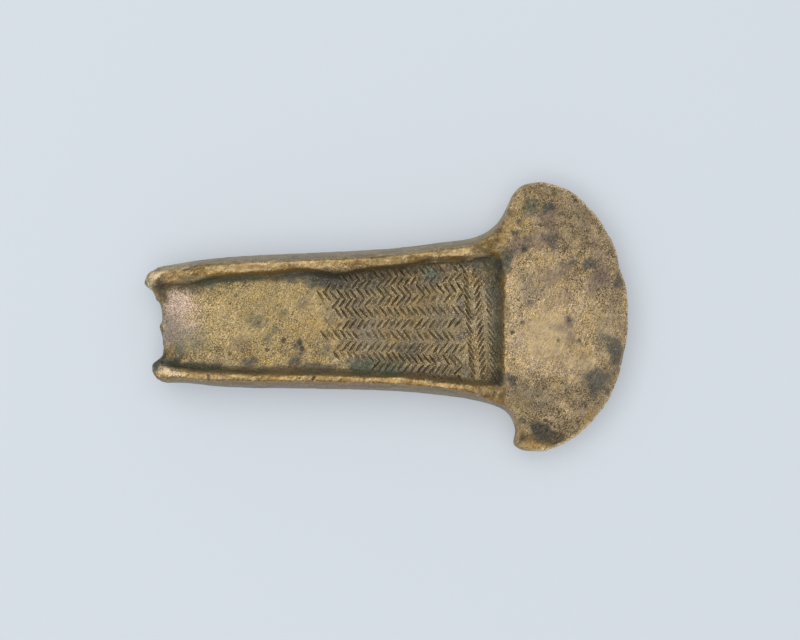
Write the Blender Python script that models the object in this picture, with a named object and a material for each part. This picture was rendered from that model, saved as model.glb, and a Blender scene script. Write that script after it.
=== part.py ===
"""Cast bronze flanged axe head with a round blade, lying on one face, in metres.

+X runs from the butt to the cutting edge, +Y to the whole horn of the blade, and +Z up.
The origin is under the middle of the axe, on the surface that it lies on.

The axe is one casting, so it is one solid. Seen from above it is a closed outline: two sides,
a broken butt and a cutting edge. Both faces are height fields over that outline, worked out from
the distance to the sides, the butt, the edge and the stop ledge, and they meet in a low rim all
round. Each face has a haft slot between its two flanges, with a punched herringbone on its floor.
"""

import math
import random

import bmesh
import bpy
import numpy as np
from mathutils import Vector
from mathutils.geometry import delaunay_2d_cdt

# Lengths along the axe
BODY_LENGTH = 0.0926
BLADE_LENGTH = 0.0324
HORN_REACH = 0.0085

# Widths, and how far the middle of the butt and of the stop ledge lie off the blade's middle
BLADE_WIDTH = 0.0699
STOP_WIDTH = 0.0418
NECK_WIDTH = 0.0399
MID_WIDTH = 0.0355
BUTT_WIDTH = 0.0312
BUTT_OFFSET = -0.0017
STOP_OFFSET = -0.0003

# Thicknesses through both faces
FLANGE_THICKNESS = 0.0200
BUTT_THICKNESS = 0.0124
STOP_THICKNESS = 0.0152
WEB_THICKNESS = 0.0066
EDGE_THICKNESS = 0.0008

# Flanges, seen from above
SIDE_LEAN = 0.0020
NECK_LEAN = 0.0009
UPPER_CREST_WIDTH = 0.0026
LOWER_CREST_WIDTH = 0.0018
CREST_ROUNDING = 0.0005
CREST_RISE = 0.0400
CREST_FALL = 0.0100

# Haft slot
WALL_RUN = 0.0016
STOP_RUN = 0.0055
BUTT_BREAK_DEPTH = 0.0055
BUTT_TAPER = 0.0065
BUTT_END_THICKNESS = 0.0030

# Chisel strokes of the herringbone
STROKE_PITCH = 0.00168
STROKE_REACH = 0.00245
STROKE_LEAN = 0.78
STROKE_WIDTH = 0.00084
STROKE_DEPTH = 0.00045

# Columns of steeper strokes beside the stop ledge, leaning with the rows' ends
COLUMNS = 3
COLUMN_PITCH = 0.0027
COLUMN_REACH = 0.0027
COLUMN_LEAN = 0.54
COLUMN_TO_STOP = 0.0036
COLUMN_DRIFT = -0.07

# Rows of the other face: fewer, longer strokes
UNDER_ROWS = 5
UNDER_PITCH = 0.0030
UNDER_REACH = 0.0034
UNDER_START = 0.37

# Spacing of the mesh's points, and where its lines run on the flanks, walls, blade and butt
OUTLINE_STEP = 0.0022
FACE_STEP = 0.0036
LINE_GAP = 0.00022
CLEAR_OF_OUTLINE = 0.00016
FLANK_LINES = (0.13, 0.38, 0.72, 1.0, 1.25)
SLOT_LINES = (0.0, 0.15, 0.4, 1.0)
BLADE_LINES = (0.04, 0.14, 0.30, 0.50, 0.72)
BUTT_LINES = (0.12, 0.4, 1.0)

# The upper horn and the broken lower horn, as shares of the blade's length past the stop ledge
# and of half its width
UPPER_HORN = [
    (-0.262, 0.578),
    (-0.120, 0.632),
    (-0.025, 0.718),
    (0.031, 0.818),
    (0.071, 0.898),
    (0.117, 0.955),
    (0.182, 0.988),
]
LOWER_HORN = [
    (-0.216, 0.620),
    (-0.056, 0.661),
    (0.022, 0.703),
    (0.074, 0.766),
    (0.096, 0.839),
    (0.086, 0.890),
    (0.077, 0.936),
    (0.108, 0.975),
    (0.182, 0.994),
]

# Rows of the herringbone, as shares of half the floor's width, and the share of the body's
# length between each row's start and the stop ledge
ROWS = [
    (0.87, 0.441),
    (0.72, 0.487),
    (0.55, 0.509),
    (0.38, 0.465),
    (0.18, 0.460),
    (-0.05, 0.455),
    (-0.26, 0.498),
    (-0.48, 0.455),
    (-0.67, 0.463),
    (-0.84, 0.356),
    (-0.98, 0.335),
]

# The broken butt, from the lower flange's end to the upper one's, as shares of the break's depth
# and of half the butt's width
BUTT_BREAK = [
    (1.000, -1.000),
    (0.545, -0.890),
    (0.345, -0.769),
    (0.473, -0.635),
    (0.855, -0.520),
    (0.855, -0.330),
    (0.745, -0.110),
    (0.818, 0.110),
    (0.727, 0.290),
    (0.509, 0.430),
    (0.327, 0.545),
    (0.073, 0.610),
    (0.000, 0.700),
    (0.255, 0.850),
    (0.873, 0.955),
]

# Where the upper face's flanges are wider (+) or narrower (-), as shares of the body's length
# and of the crest's width
UPPER_FLANGE_WAVES = [
    (0.124, 0.27),
    (0.432, -0.23),
    (0.545, 0.35),
    (0.799, -0.31),
]
LOWER_FLANGE_WAVES = [
    (0.049, 0.44),
    (0.140, -0.28),
    (0.632, -0.11),
    (0.756, 0.28),
]
WAVE_LENGTH = 0.0045

BRONZE = (0.45, 0.33, 0.15, 1.0)

BUTT_X = -(BODY_LENGTH + BLADE_LENGTH) / 2
STOP_X = BUTT_X + BODY_LENGTH
EDGE_X = STOP_X + BLADE_LENGTH
MIDDLE_Z = FLANGE_THICKNESS / 2
RIM = EDGE_THICKNESS / 2


def smooth_curve(points, step):
    """Points on a Catmull-Rom curve through the given ones, closer together round the horns."""
    knots = np.array([points[0], *points, points[-1]], float)
    made = []
    for before, start, end, after in zip(knots, knots[1:], knots[2:], knots[3:]):
        here = step / 2 if start[0] > STOP_X - CREST_FALL else step
        count = max(1, round(float(np.linalg.norm(end - start)) / here))
        for t in np.arange(count)[:, None] / count:
            made.append(
                0.5 * (2 * start + (end - before) * t
                       + (2 * before - 5 * start + 4 * end - after) * t ** 2
                       + (3 * start - before - 3 * end + after) * t ** 3)
            )
    made.append(knots[-1][None, :])
    return np.vstack(made)


def middle_y(x):
    """The body's middle line, which runs a little askew to the blade."""
    along = np.clip((x - BUTT_X) / BODY_LENGTH, 0, 1)
    return BUTT_OFFSET + (STOP_OFFSET - BUTT_OFFSET) * along


def body_side(sign, last):
    """The first points that a side of the body passes through, from the butt to the stop ledge."""
    stations = [
        (0.11, BUTT_WIDTH),
        (0.25, BUTT_WIDTH + 0.62 * (MID_WIDTH - BUTT_WIDTH)),
        (0.53, MID_WIDTH),
        (0.70, MID_WIDTH + 0.35 * (NECK_WIDTH - MID_WIDTH)),
        (0.845, NECK_WIDTH),
        (0.93, STOP_WIDTH),
        (1.0, STOP_WIDTH),
    ][:last]
    xs = [BUTT_X + share * BODY_LENGTH for share, _ in stations]
    return [(x, middle_y(x) + sign * width / 2) for x, (_, width) in zip(xs, stations)]


def horn(points, sign):
    return [(STOP_X + past * BLADE_LENGTH, sign * across * BLADE_WIDTH / 2) for past, across in points]


def butt_line():
    return [
        (BUTT_X + back * BUTT_BREAK_DEPTH, BUTT_OFFSET + across * BUTT_WIDTH / 2)
        for back, across in BUTT_BREAK
    ]


def cutting_edge():
    """Half an ellipse from the upper horn round to the lower one."""
    centre_x = STOP_X + HORN_REACH
    radius_x, radius_y = EDGE_X - centre_x, BLADE_WIDTH / 2
    count = max(12, round(math.pi * (radius_x + radius_y) / 2 / OUTLINE_STEP))
    turns = np.linspace(math.pi / 2, -math.pi / 2, count + 1)
    return np.column_stack([centre_x + radius_x * np.cos(turns), radius_y * np.sin(turns)])


def outline_parts():
    """The outline's four stretches, and the sides as they would run on straight to the stop."""
    butt = smooth_curve(butt_line(), OUTLINE_STEP / 2)
    edge = cutting_edge()
    parts = {"butt": butt, "edge": edge}
    ends = [(1, butt[-1], edge[0], UPPER_HORN), (-1, butt[0], edge[-1], LOWER_HORN)]
    for sign, first, last, points in ends:
        sides = [first, *body_side(sign, 5), *horn(points, sign), last]
        parts["side", sign] = smooth_curve(sides, OUTLINE_STEP)
        parts["slot", sign] = smooth_curve([first, *body_side(sign, 7)], OUTLINE_STEP)
    return parts


def distance_to(line, points):
    """Each point's distance to a line of points."""
    start, along = line[:-1], line[1:] - line[:-1]
    offset = points[:, None, :] - start[None, :, :]
    share = (offset * along).sum(2) / np.maximum((along ** 2).sum(1), 1e-18)
    nearest = offset - np.clip(share, 0, 1)[:, :, None] * along
    return np.sqrt((nearest ** 2).sum(2)).min(1)


def inside(loop, points):
    """Which points lie inside a closed loop."""
    x, y = points[:, 0][:, None], points[:, 1][:, None]
    x0, y0 = loop[:, 0], loop[:, 1]
    x1, y1 = np.roll(x0, -1), np.roll(y0, -1)
    crosses = (y0 > y) != (y1 > y)
    rise = np.where(y1 == y0, 1e-12, y1 - y0)
    return (crosses & (x < x0 + (x1 - x0) * (y - y0) / rise)).sum(1) % 2 == 1


def smooth_min(a, b, width):
    share = np.clip(0.5 + 0.5 * (b - a) / width, 0, 1)
    return b + (a - b) * share - width * share * (1 - share)


def smooth_step(value):
    t = np.clip(value, 0, 1)
    return t * t * (3 - 2 * t)


class Face:
    """One face of the axe: its height above the middle plane at any point of the plan."""

    def __init__(self, parts, upper_waves, lower_waves, strokes):
        self.parts = parts
        self.waves = {1: upper_waves, -1: lower_waves}
        self.strokes = strokes

    def flange_edge(self, x, sign):
        """How far inside its side a flange's inner edge runs."""
        share = np.ones(len(x))
        for along, change in self.waves[sign]:
            off = x - BUTT_X - along * BODY_LENGTH
            share += change * np.exp(-((off / WAVE_LENGTH) ** 2))
        return SIDE_LEAN + share * (UPPER_CREST_WIDTH if sign > 0 else LOWER_CREST_WIDTH)

    def lean(self, x):
        """How far inside the outline the top of a side is: less at the neck than on the body."""
        return SIDE_LEAN + (NECK_LEAN - SIDE_LEAN) * smooth_step((x - STOP_X) / CREST_FALL + 1)

    def crest(self, x):
        """Height of the flanges' crests: rising from the butt, level, then down to the stop."""
        rise = 1 - np.clip((x - BUTT_X) / CREST_RISE, 0, 1)
        full, at_butt, at_stop = (t / 2 for t in (FLANGE_THICKNESS, BUTT_THICKNESS, STOP_THICKNESS))
        fall = smooth_step((x - STOP_X + CREST_FALL) / CREST_FALL)
        return full - (full - at_butt) * rise ** 2 - (full - at_stop) * fall

    def blade(self, points, to_edge):
        """Share of the stop's height left at each point: 1 on the body, 0 on the cutting edge."""
        short_of = np.maximum(STOP_X - points[:, 0], 0)
        reach = STOP_WIDTH / 2 + 0.15 * short_of
        beyond_y = np.maximum(np.abs(points[:, 1] - STOP_OFFSET) - reach, 0)
        to_stop = np.hypot(np.maximum(points[:, 0] - STOP_X, 0), beyond_y)
        return (to_edge / np.maximum(to_edge + to_stop, 1e-9)) ** 0.85

    def outer(self, points, to_side, to_butt, to_edge):
        """The casting's outer shape, as if it had no slot."""
        x = points[:, 0]
        crest = RIM + (self.crest(x) - RIM) * self.blade(points, to_edge)
        swell = 0.6 * FLANGE_THICKNESS
        fade = -1 / math.log(1 - (FLANGE_THICKNESS / 2 - RIM) / swell)
        side = RIM + swell * (1 - np.exp(-to_side / (fade * self.lean(x))))
        butt = RIM + swell * (1 - np.exp(-to_butt / (fade * NECK_LEAN)))
        rounding = np.minimum(CREST_ROUNDING, to_side * 0.5)
        return smooth_min(np.minimum(crest, butt), side, np.maximum(rounding, 1e-7))

    def slot(self, points):
        """Share of the wall's height left in the slot: 1 outside it, 0 on its floor."""
        x = points[:, 0]
        from_flange = np.minimum(*(
            distance_to(self.parts["slot", sign], points) - self.flange_edge(x, sign)
            for sign in (1, -1)
        ))
        wall = (1 - np.clip(from_flange / WALL_RUN, 0, 1)) ** 3
        stop = (1 - np.clip((STOP_X - x) / STOP_RUN, 0, 1)) ** 2.2
        return 1 - (1 - wall) * (1 - stop)

    def height(self, points):
        to_side = np.minimum(*(distance_to(self.parts["side", sign], points) for sign in (1, -1)))
        to_butt = distance_to(self.parts["butt"], points)
        to_edge = distance_to(self.parts["edge"], points)
        outer = self.outer(points, to_side, to_butt, to_edge)
        taper = smooth_step(to_butt / BUTT_TAPER)
        web = (BUTT_END_THICKNESS + (WEB_THICKNESS - BUTT_END_THICKNESS) * taper) / 2
        floor = np.minimum(web, outer)
        made = floor + (outer - floor) * self.slot(points)
        return np.maximum(made - punched_depth(self.strokes, points), RIM)


class Stroke:
    """One mark of a small chisel: a boat-shaped dent between two ends."""

    def __init__(self, start, end):
        self.start, self.end = np.array(start), np.array(end)
        self.along = (self.end - self.start) / np.linalg.norm(self.end - self.start)
        self.across = np.array([-self.along[1], self.along[0]])

    def rim(self):
        middle = (self.start + self.end) / 2
        side = self.across * STROKE_WIDTH / 2
        return [self.start, middle + side, self.end, middle - side]

    def keel(self):
        inset = self.along * STROKE_WIDTH / 2
        return [self.start + inset, self.end - inset]


def punched_depth(strokes, points):
    """How deep the strokes go at each point: full depth along a keel, none outside a rim."""
    depth = np.zeros(len(points))
    for stroke in strokes:
        length = np.linalg.norm(stroke.end - stroke.start)
        offset = points - stroke.start
        along = offset @ stroke.along
        across = np.abs(offset @ stroke.across)
        near_end = np.minimum(along, length - along) / (STROKE_WIDTH / 2)
        half_width = STROKE_WIDTH * np.clip(np.minimum(along, length - along) / length, 0, 1)
        here = np.clip(1 - across / np.maximum(half_width, 1e-9), 0, 1)
        depth = np.maximum(depth, STROKE_DEPTH * np.clip(near_end, 0, 1) * here)
    return depth


def floor_y(x, share):
    """A height on the slot's floor, as a share of the way from its middle to a wall's foot."""
    along = np.clip((x - BUTT_X) / BODY_LENGTH, 0, 1)
    width = np.interp(along, [0.11, 0.53, 0.93], [BUTT_WIDTH, MID_WIDTH, STOP_WIDTH])
    crest_width = (UPPER_CREST_WIDTH + LOWER_CREST_WIDTH) / 2
    middle = middle_y(x) - (UPPER_CREST_WIDTH - LOWER_CREST_WIDTH) / 2
    return middle + share * (width / 2 - SIDE_LEAN - crest_width - WALL_RUN / 2)


def row_strokes(rows, pitch, reach, end_x, luck):
    """Rows along the axe that fan out with the slot, slanting by turns one way and the other."""
    strokes = []
    shares = np.array([share for share, _ in rows])
    gaps = np.abs(np.gradient(shares)) * (floor_y(0, 1) - floor_y(0, 0))
    for row, (share, to_stop) in enumerate(rows):
        lean = STROKE_LEAN if row % 2 else -STROKE_LEAN
        x = STOP_X - to_stop * BODY_LENGTH
        while x < end_x:
            y = floor_y(x, share) + luck.uniform(-0.06, 0.06) * reach
            half = min(reach, gaps[row]) / 2 * luck.uniform(0.85, 1.05)
            tilt = half * lean * luck.uniform(0.85, 1.15)
            strokes.append(Stroke((x - tilt, y - half), (x + tilt, y + half)))
            x += pitch * luck.uniform(0.92, 1.08)
    return strokes


def column_strokes(luck):
    """Columns of steeper strokes across the axe, beside the stop ledge."""
    strokes = []
    for column in range(COLUMNS):
        first_x = STOP_X - COLUMN_TO_STOP - (COLUMNS - 1 - column) * COLUMN_PITCH
        lean = COLUMN_LEAN if column % 2 else -COLUMN_LEAN
        y = floor_y(first_x, -0.92)
        while y < floor_y(first_x, 0.85):
            x = first_x + COLUMN_DRIFT * y
            half = COLUMN_REACH / 2 * luck.uniform(0.85, 1.1)
            tilt = half * lean
            strokes.append(Stroke((x - tilt, y - half), (x + tilt, y + half)))
            y += STROKE_PITCH * luck.uniform(0.95, 1.15)
    return strokes


def inset_line(side, sign, inset):
    """A side's line moved inwards by a distance that may change along the axe."""
    ahead = np.gradient(side, axis=0)
    ahead /= np.linalg.norm(ahead, axis=1)[:, None]
    inward = sign * np.column_stack([ahead[:, 1], -ahead[:, 0]])
    return side + inward * inset(side[:, 0])[:, None]


def slot_line(face, share):
    """Round the slot at one height of its walls: in along the upper wall, out by the lower."""
    stop_x = STOP_X - share * STOP_RUN
    walls, corners = {}, {}
    for sign in (1, -1):
        wall = inset_line(
            face.parts["slot", sign], sign, lambda x: face.flange_edge(x, sign) + share * WALL_RUN
        )
        corners[sign] = np.interp(stop_x, *wall.T)
        walls[sign] = wall[wall[:, 0] < stop_x - OUTLINE_STEP / 2]
    count = round((corners[1] - corners[-1]) / FACE_STEP) + 2
    stop = np.column_stack([np.full(count, stop_x), np.linspace(corners[1], corners[-1], count)])
    return np.vstack([walls[1], stop, walls[-1][::-1]])


def guide_lines(face):
    """The lines that the mesh follows: flanks, walls of the slot, blade and butt."""
    lines = []
    for share in FLANK_LINES:
        for sign in (1, -1):
            lines.append(inset_line(face.parts["side", sign], sign, lambda x: share * face.lean(x)))
    lines += [slot_line(face, share) for share in SLOT_LINES]
    edge = face.parts["edge"]
    to_root = np.array([STOP_X, STOP_OFFSET]) - edge
    lines += [edge + share * to_root * [1.0, 0.45] for share in BLADE_LINES]
    lines += [face.parts["butt"] + [run * BUTT_TAPER, 0] for run in BUTT_LINES]
    return lines


def face_grid():
    """Points in staggered rows over the whole plan."""
    rows = np.arange(-BLADE_WIDTH / 2, BLADE_WIDTH / 2, FACE_STEP * 0.87)
    line = np.arange(BUTT_X, EDGE_X, FACE_STEP)
    grid = [np.column_stack([line + i % 2 * FACE_STEP / 2, np.full(len(line), y)])
            for i, y in enumerate(rows)]
    return np.vstack(grid)


def cell(point, step):
    return (round(point[0] / step), round(point[1] / step))


def clear_inside(loop, points, gap):
    """Which points lie inside the outline and clear of it."""
    return inside(loop, points) & (distance_to(np.vstack([loop, loop[:1]]), points) > gap)


def add_guides(face, loop, points, edges):
    """Add the guide lines' points, and edges along the lines where these stay inside."""
    taken = {cell(point, LINE_GAP) for point in points}
    for line in guide_lines(face):
        ok = clear_inside(loop, line, CLEAR_OF_OUTLINE) & (punched_depth(face.strokes, line) == 0)
        last = None
        for point, is_ok in zip(line, ok):
            x, y = cell(point, LINE_GAP)
            near = {(x + i, y + j) for i in (-1, 0, 1) for j in (-1, 0, 1)}
            if not is_ok:
                last = None
            elif not near & taken:
                if last is not None:
                    middles = points[last] + np.outer([0.2, 0.5, 0.8], point - points[last])
                    if clear_inside(loop, middles, CLEAR_OF_OUTLINE / 2).all():
                        edges.append((last, len(points)))
                last = len(points)
                points.append(point)
                taken.add((x, y))


def face_mesh(face, loop):
    """Points and triangles of one face over the plan, and the places of the outline's points."""
    points = list(loop)
    edges = [(i, (i + 1) % len(loop)) for i in range(len(loop))]
    for stroke in face.strokes:
        first = len(points)
        points += [*stroke.rim(), *stroke.keel()]
        edges += [(first + i, first + (i + 1) % 4) for i in range(4)] + [(first + 4, first + 5)]
    add_guides(face, loop, points, edges)
    grid = face_grid()
    ok = clear_inside(loop, grid, FACE_STEP / 3) & (punched_depth(face.strokes, grid) == 0)
    crowded = {cell(point, FACE_STEP / 2) for point in points}
    points += [point for point in grid[ok] if cell(point, FACE_STEP / 2) not in crowded]
    verts, _, triangles, sources = delaunay_2d_cdt([Vector(p) for p in points], edges, [], 1, 1e-7)[:4]
    place = {source: i for i, group in enumerate(sources) for source in group}
    return np.array([tuple(v) for v in verts]), triangles, [place[i] for i in range(len(loop))]


def build_axe():
    parts = outline_parts()
    loop = np.vstack([
        parts["butt"][:-1],
        parts["side", 1][:-1],
        parts["edge"][:-1],
        parts["side", -1][:0:-1],
    ])
    luck = random.Random(7)
    columns_x = STOP_X - COLUMN_TO_STOP - (COLUMNS - 0.5) * COLUMN_PITCH
    strokes = row_strokes(ROWS, STROKE_PITCH, STROKE_REACH, columns_x, luck)
    strokes += column_strokes(luck)
    under_rows = [(1.7 * (i + 0.5) / UNDER_ROWS - 0.85, UNDER_START) for i in range(UNDER_ROWS)]
    under_strokes = row_strokes(under_rows, UNDER_PITCH, UNDER_REACH, columns_x, luck)
    upper = Face(parts, UPPER_FLANGE_WAVES, LOWER_FLANGE_WAVES, strokes)
    under = Face(parts, [], [], under_strokes)
    mesh = bmesh.new()
    rims = []
    for face, sign in ((upper, 1), (under, -1)):
        plan, triangles, rim = face_mesh(face, loop)
        z = MIDDLE_Z + sign * face.height(plan)
        verts = [mesh.verts.new((x, y, level)) for (x, y), level in zip(plan, z)]
        for triangle in triangles:
            mesh.faces.new([verts[i] for i in triangle])
        rims.append([verts[i] for i in rim])
    for i, high in enumerate(rims[0]):
        following = (i + 1) % len(rims[0])
        mesh.faces.new([high, rims[0][following], rims[1][following], rims[1][i]])
    bmesh.ops.recalc_face_normals(mesh, faces=mesh.faces)
    data = bpy.data.meshes.new("axe_head")
    mesh.to_mesh(data)
    mesh.free()
    return data


def bronze():
    material = bpy.data.materials.new("bronze")
    material.use_nodes = True
    shader = material.node_tree.nodes["Principled BSDF"]
    shader.inputs["Base Color"].default_value = BRONZE
    shader.inputs["Roughness"].default_value = 0.45
    shader.inputs["Metallic"].default_value = 0.85
    return material


def main():
    for old in list(bpy.data.objects):
        bpy.data.objects.remove(old)
    data = build_axe()
    data.materials.append(bronze())
    axe = bpy.data.objects.new("axe_head", data)
    bpy.context.scene.collection.objects.link(axe)


main()
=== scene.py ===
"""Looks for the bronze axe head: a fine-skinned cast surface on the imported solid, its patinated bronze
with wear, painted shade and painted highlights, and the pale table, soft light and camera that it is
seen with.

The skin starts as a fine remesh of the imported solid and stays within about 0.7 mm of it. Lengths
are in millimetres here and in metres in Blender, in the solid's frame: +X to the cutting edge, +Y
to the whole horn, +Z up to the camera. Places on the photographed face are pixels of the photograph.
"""

import math
import random

import bmesh
import bpy
import numpy as np
from mathutils.kdtree import KDTree
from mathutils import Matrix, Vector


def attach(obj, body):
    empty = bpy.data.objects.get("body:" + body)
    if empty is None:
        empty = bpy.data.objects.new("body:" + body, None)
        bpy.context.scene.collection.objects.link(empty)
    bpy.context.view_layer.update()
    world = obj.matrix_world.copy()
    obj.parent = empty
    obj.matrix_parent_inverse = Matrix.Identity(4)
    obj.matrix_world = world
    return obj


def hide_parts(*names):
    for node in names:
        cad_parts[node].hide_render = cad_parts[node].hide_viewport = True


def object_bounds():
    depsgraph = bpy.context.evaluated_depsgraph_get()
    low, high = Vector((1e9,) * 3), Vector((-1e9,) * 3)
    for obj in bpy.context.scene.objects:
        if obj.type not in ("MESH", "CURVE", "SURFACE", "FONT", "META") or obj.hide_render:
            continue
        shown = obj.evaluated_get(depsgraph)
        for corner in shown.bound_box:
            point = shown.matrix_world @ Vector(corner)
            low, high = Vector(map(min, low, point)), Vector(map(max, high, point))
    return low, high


MM = 0.001

# The photograph's frame: millimetres per pixel on the axe's middle plane, and the pixel that lies
# over the origin
PIXEL = 0.2583
ORIGIN_PX = (386.6, 316.75)
FRAME_PX = (800, 640)
CAMERA_HEIGHT = 575.0
MIDDLE_Z = 10.0

# The skin's first spacing and its final number of triangles
VOXEL = 0.27
TRIANGLES = 190000

# The body's start and its length up to the stop ledge
BODY = (-62.5, 92.6)
STOP_X = BODY[0] + BODY[1]

# The slot's middle line: its y at the butt, and how far that moves by the stop ledge
SLOT_Y, SLOT_DRIFT = -1.7, 1.4

# The cutting edge's curve: its middle's x, and its half sizes along and across the axe
BLADE_MIDDLE_X, BLADE_HALF = 38.6, (24.0, 34.9)

# Soft steps from one area of the axe to the next, along x
BUTT_X = (-58.5, -53.5)
FIELD_X = (-19, -8)
RISE_X = (24.5, 28.0)
SLOT_END_X = (29.2, 30.4)
BLADE_X = (29.5, 31.5)
LEDGE_END_X = (33, 35)
HORN_X = (36, 40)

# The same for heights above the table, and for heights over or under the middle plane
TOP_Z = (9.2, 10.8)
SLOT_LIFT = (5.2, 6.4)
CREST_LIFT = (5.6, 6.6)
WALL_LIFT = (8.5, 9.6)
SLOT_HALF = (17.0, 18.5)

# From this x on the punched field has finer faces
FINE_FACES_X = -21


def at_pixel(px, py):
    """The point of the middle plane under a pixel of the photograph."""
    return (px - ORIGIN_PX[0]) * PIXEL, (ORIGIN_PX[1] - py) * PIXEL


def as_seen(points):
    """Each point's x and y where the camera sees it on the middle plane."""
    return points[:, :2] * (CAMERA_HEIGHT / (CAMERA_HEIGHT + MIDDLE_Z - points[:, 2]))[:, None]


# ---- smooth noise on arrays of points

# The noise repeats after this many cells
LATTICE = 64

# How many layers a cloud has, and what brings their sum back to about -1 to 1
LAYERS, LAYER_SUM = 3, 1.4


def lattice_noise(points, size, seed):
    """Smooth noise from -1 to 1 with features of a given size, at points in millimetres."""
    luck = np.random.default_rng(seed)
    table = luck.uniform(-1.0, 1.0, (LATTICE, LATTICE, LATTICE))
    place = points / size + luck.uniform(0, LATTICE, 3)
    low = np.floor(place).astype(np.int64)
    part = place - low
    x, y, z = (part * part * part * (part * (part * 6 - 15) + 10)).T
    (x0, y0, z0), (x1, y1, z1) = (low % LATTICE).T, ((low + 1) % LATTICE).T

    def row(at_y, at_z):
        near = table[x0, at_y, at_z]
        return near + (table[x1, at_y, at_z] - near) * x

    front, back = row(y0, z0), row(y0, z1)
    front += (row(y1, z0) - front) * y
    back += (row(y1, z1) - back) * y
    return front + (back - front) * z


def cloud(points, size, seed):
    """Layered noise, each layer half as large and half as strong as the one before."""
    total, share = np.zeros(len(points)), 1.0
    for layer in range(LAYERS):
        total += share * lattice_noise(points, size / 2 ** layer, seed + layer)
        share *= 0.5
    return total / LAYER_SUM


def ramp(value, low, high):
    """Smooth step from 0 at low to 1 at high."""
    t = np.clip((value - low) / (high - low), 0, 1)
    return t * t * (3 - 2 * t)


# ---- the skin's mesh


def packed_copy(solid, name):
    """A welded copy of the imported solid's mesh."""
    mesh = bpy.data.meshes.new(name)
    bm = bmesh.new()
    bm.from_mesh(solid)
    bmesh.ops.remove_doubles(bm, verts=bm.verts, dist=1e-6)
    bm.to_mesh(mesh)
    bm.free()
    skin = bpy.data.objects.new(name, mesh)
    bpy.context.scene.collection.objects.link(skin)
    return skin


def apply_modifier(skin, kind, **settings):
    modifier = skin.modifiers.new(kind, kind)
    for key, value in settings.items():
        setattr(modifier, key, value)
    bpy.context.view_layer.objects.active = skin
    bpy.ops.object.modifier_apply(modifier=modifier.name)


def refine(skin, chosen):
    """Split the faces all of whose points are chosen."""
    bm = bmesh.new()
    bm.from_mesh(skin.data)
    bm.verts.ensure_lookup_table()
    faces = [face for face in bm.faces if all(chosen[vert.index] for vert in face.verts)]
    edges = list({edge for face in faces for edge in face.edges})
    bmesh.ops.subdivide_edges(bm, edges=edges, cuts=1, use_grid_fill=True)
    bm.to_mesh(skin.data)
    bm.free()


class Surface:
    """The skin's points in millimetres with their neighbours, for smoothing and carving."""

    def __init__(self, mesh):
        self.mesh = mesh
        count = len(mesh.vertices)
        flat = np.empty(count * 3)
        mesh.vertices.foreach_get("co", flat)
        self.points = flat.reshape(-1, 3) / MM
        edges = np.empty(len(mesh.edges) * 2, np.int64)
        mesh.edges.foreach_get("vertices", edges)
        first, second = np.concatenate([edges.reshape(-1, 2), edges.reshape(-1, 2)[:, ::-1]]).T
        second = second[np.argsort(first, kind="stable")]
        self.degree = np.bincount(first, minlength=count)
        start = np.cumsum(self.degree) - self.degree
        turn = np.arange(self.degree.max())
        slots = np.minimum(start[:, None] + turn, len(second) - 1)
        self.near = np.where(turn < self.degree[:, None], second[slots], np.arange(count)[:, None])

    def mean(self, values, chosen=slice(None)):
        """The average of the chosen points' neighbours."""
        near, degree, own = self.near[chosen], self.degree[chosen], values[chosen]
        if values.ndim > 1:
            degree = degree[:, None]
        return (values[near].sum(1) - (near.shape[1] - degree) * own) / degree

    def blurred(self, values, times):
        for _ in range(times):
            values = 0.4 * values + 0.6 * self.mean(values)
        return values

    def smooth(self, weight, times):
        """Relax the points, more where weight is near 1."""
        chosen = np.flatnonzero(weight > 0.01)
        strength = 0.6 * weight[chosen, None]
        for _ in range(times):
            self.points[chosen] += (self.mean(self.points, chosen) - self.points[chosen]) * strength

    def normals(self):
        self.store()
        flat = np.empty(len(self.points) * 3)
        self.mesh.vertices.foreach_get("normal", flat)
        return flat.reshape(-1, 3)

    def store(self):
        self.mesh.vertices.foreach_set("co", (self.points * MM).ravel())
        self.mesh.update()

    def hollow(self, times):
        """How far below its blurred surroundings each point lies. A ridge is under 0."""
        normals = self.normals()
        return ((self.blurred(self.points, times) - self.points) * normals).sum(1)


class Zones:
    """Where on the axe each point is, as amounts from 0 to 1, worked out from place and normal."""

    def __init__(self, points, normals):
        x, y, z = points.T
        lift = np.abs(z - MIDDLE_Z)
        middle = SLOT_Y + SLOT_DRIFT * ramp(x, -62, 30)
        outward = np.sign(y - middle) * normals[:, 1]
        facing = np.abs(normals[:, 2])
        self.top = ramp(z, *TOP_Z)
        self.blade = ramp(x, *BLADE_X)
        self.slot = (1 - ramp(x, *SLOT_END_X)) * (1 - ramp(lift, *SLOT_LIFT))
        self.slot *= 1 - ramp(outward, 0.1, 0.5)
        self.slot *= 1 - ramp(np.abs(y - middle), *SLOT_HALF)
        self.floor = self.slot * ramp(facing, 0.6, 0.95)
        self.wall = (1 - self.blade) * ramp(-outward, 0.25, 0.7) * (1 - ramp(lift, *WALL_LIFT))
        self.side = ramp(outward, 0.35, 0.75) * ramp(lift, -1, 0.5) * (1 - ramp(x, *HORN_X))
        self.crest = (1 - self.blade) * ramp(lift, *CREST_LIFT) * ramp(facing, 0.45, 0.85)
        self.crest *= 1 - self.slot
        self.rise = (1 - self.blade) * self.slot * ramp(x, *RISE_X)
        self.butt = 1 - ramp(x, *BUTT_X)


def reach_of(plan, pixel, half, turn):
    """Each point's distance from a pixel's place, as a share of the way to an ellipse's rim."""
    x, y = at_pixel(*pixel)
    cos, sin = math.cos(math.radians(turn)), math.sin(math.radians(turn))
    off = plan - [x, y]
    u = (off[:, 0] * cos + off[:, 1] * sin) / (half[0] * PIXEL)
    v = (off[:, 1] * cos - off[:, 0] * sin) / (half[1] * PIXEL)
    return np.hypot(u, v)


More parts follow.
